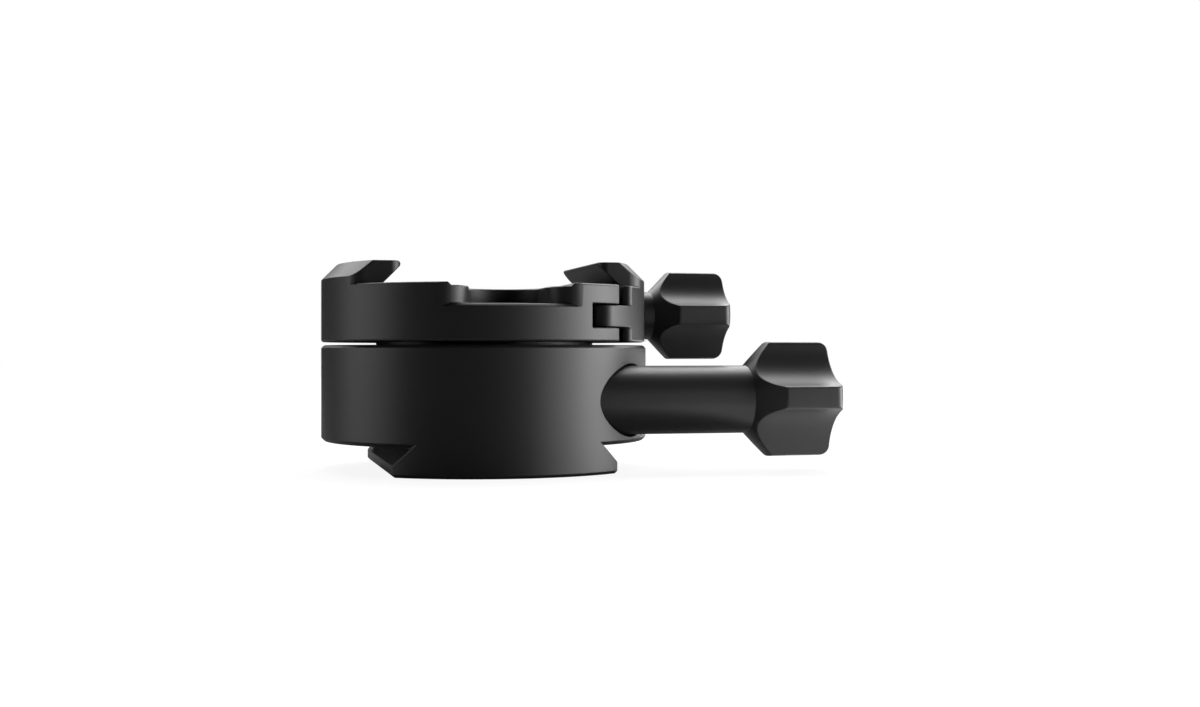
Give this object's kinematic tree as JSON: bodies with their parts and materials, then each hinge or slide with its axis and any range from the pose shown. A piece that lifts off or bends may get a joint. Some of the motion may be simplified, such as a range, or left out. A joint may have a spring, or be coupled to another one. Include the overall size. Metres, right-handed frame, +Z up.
{
  "type": "panning head",
  "caption": "Small panning base with a dovetail foot, a side lock knob on a long shaft, and a screw-knob quick-release plate clamp on top.",
  "frame": {"origin": "on the pan axis, at the bottom face of the dovetail foot, where the tripod thread opens", "axes": "+Z up along the pan axis, +X the way both knobs point, Y along the dovetails"},
  "size_m": [0.0868, 0.058, 0.0362],
  "materials": {
    "black_anodised": "bead-blasted, black anodised, matt",
    "black_anodised_knobs": "bead-blasted, black anodised, satin",
    "dark_steel": "turned, black anodised",
    "steel": "turned",
    "black_steel": "black oxide",
    "slip_plastic": "smooth, waxy",
    "brass": "turned",
    "black_rubber": "smooth"
  },
  "bodies": {
    "base": {"base_body": "black_anodised", "tripod_insert": "steel", "insert_set_screw": "black_steel", "lower_thrust_washer": "slip_plastic", "upper_thrust_washer": "slip_plastic", "retaining_ring": "dark_steel", "ring_set_screw": "black_steel"},
    "pan": {"rotor": "dark_steel", "clamp_body": "black_anodised", "mount_screws": "black_steel", "dowel_pins": "steel", "thread_bush": "steel", "jaw_spring": "steel"},
    "jaw": {"moving_jaw": "black_anodised", "knob_washer": "brass"},
    "clamp_knob": {"clamp_knob": "black_anodised_knobs", "clamp_stud": "steel", "stud_clip": "black_steel"},
    "outer_cotter": {"outer_cotter": "brass"},
    "lock_knob": {"lock_knob": "black_anodised_knobs", "lock_stud": "steel", "shaft_o_ring": "black_rubber"},
    "inner_cotter": {"inner_cotter": "brass"}
  },
  "joints": [
    {"name": "pan_turn", "type": "hinge", "parent": "base", "child": "pan", "pos_m": [0, 0, 0.02], "axis": [0, 0, 1], "continuous": true},
    {"name": "jaw_slide", "type": "slide", "parent": "pan", "child": "jaw", "axis": [1, 0, 0], "range_m": [-0.0008, 0.0034], "deforming": ["jaw_spring"]},
    {"name": "clamp_knob_turn", "type": "hinge", "parent": "jaw", "child": "clamp_knob", "pos_m": [0.035, 0, 0.0273], "axis": [1, 0, 0], "range_deg": [-360, 1530]},
    {"name": "outer_cotter_slide", "type": "slide", "parent": "base", "child": "outer_cotter", "axis": [1, 0, 0], "range_m": [-0.0002, 0.0004]},
    {"name": "lock_knob_turn", "type": "hinge", "parent": "outer_cotter", "child": "lock_knob", "pos_m": [0.045, -0.0183, 0.0123], "axis": [1, 0, 0], "range_deg": [-180, 360]},
    {"name": "inner_cotter_slide", "type": "slide", "parent": "base", "child": "inner_cotter", "axis": [1, 0, 0], "range_m": [-0.0004, 0.0002]}
  ],
  "couplings": [
    {"joint": "jaw_slide", "follows": "clamp_knob_turn", "m_per_rad": 0.00012732},
    {"joint": "outer_cotter_slide", "follows": "lock_knob_turn", "m_per_rad": 0.000063662},
    {"joint": "inner_cotter_slide", "follows": "lock_knob_turn", "m_per_rad": -0.000063662}
  ]
}
